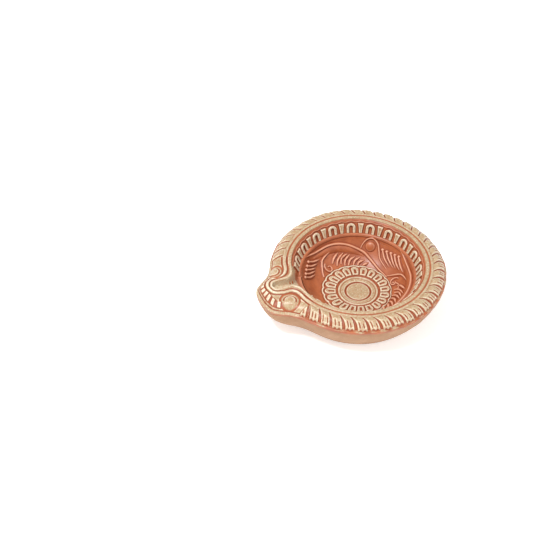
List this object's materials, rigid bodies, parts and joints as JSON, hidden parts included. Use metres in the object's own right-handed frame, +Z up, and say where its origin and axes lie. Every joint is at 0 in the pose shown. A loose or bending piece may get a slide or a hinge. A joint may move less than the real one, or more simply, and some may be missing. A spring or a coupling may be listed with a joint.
{
  "type": "diya oil lamp",
  "caption": "Small press-moulded clay oil lamp: a round dish with a pinched wick spout, a fluted rim, an arcade, vines and a floor medallion in relief.",
  "frame": {"origin": "centre of the round dish's flat base, on the surface it stands on", "axes": "+X from the dish's centre out along the wick spout, +Z up out of the bowl, +Y across the spout to its left"},
  "size_m": [0.0888, 0.08, 0.021],
  "materials": {
    "bare_clay": "matte",
    "glazed_terracotta": "satin",
    "gold_paint": "satin"
  },
  "bodies": {
    "root": {"clay_body": "bare_clay", "rim_lip_line": "gold_paint", "rim_leaves": "gold_paint", "crest_band": "gold_paint", "ledge_ring": "gold_paint", "arcade_arches": "gold_paint", "arcade_pillars": "gold_paint", "bowl_line": "glazed_terracotta", "vine_stems": "glazed_terracotta", "inner_leaf_fans": "glazed_terracotta", "outer_leaf_fans": "glazed_terracotta", "scroll_bosses": "glazed_terracotta", "scroll_spirals": "glazed_terracotta", "medallion_disc": "gold_paint", "medallion_ring": "gold_paint", "medallion_outline": "glazed_terracotta", "medallion_petals": "gold_paint", "spout_lip_line": "gold_paint", "spout_volutes": "gold_paint", "spout_dentils": "gold_paint", "spout_inner_line": "gold_paint", "spout_outer_line": "gold_paint"}
  },
  "joints": []
}
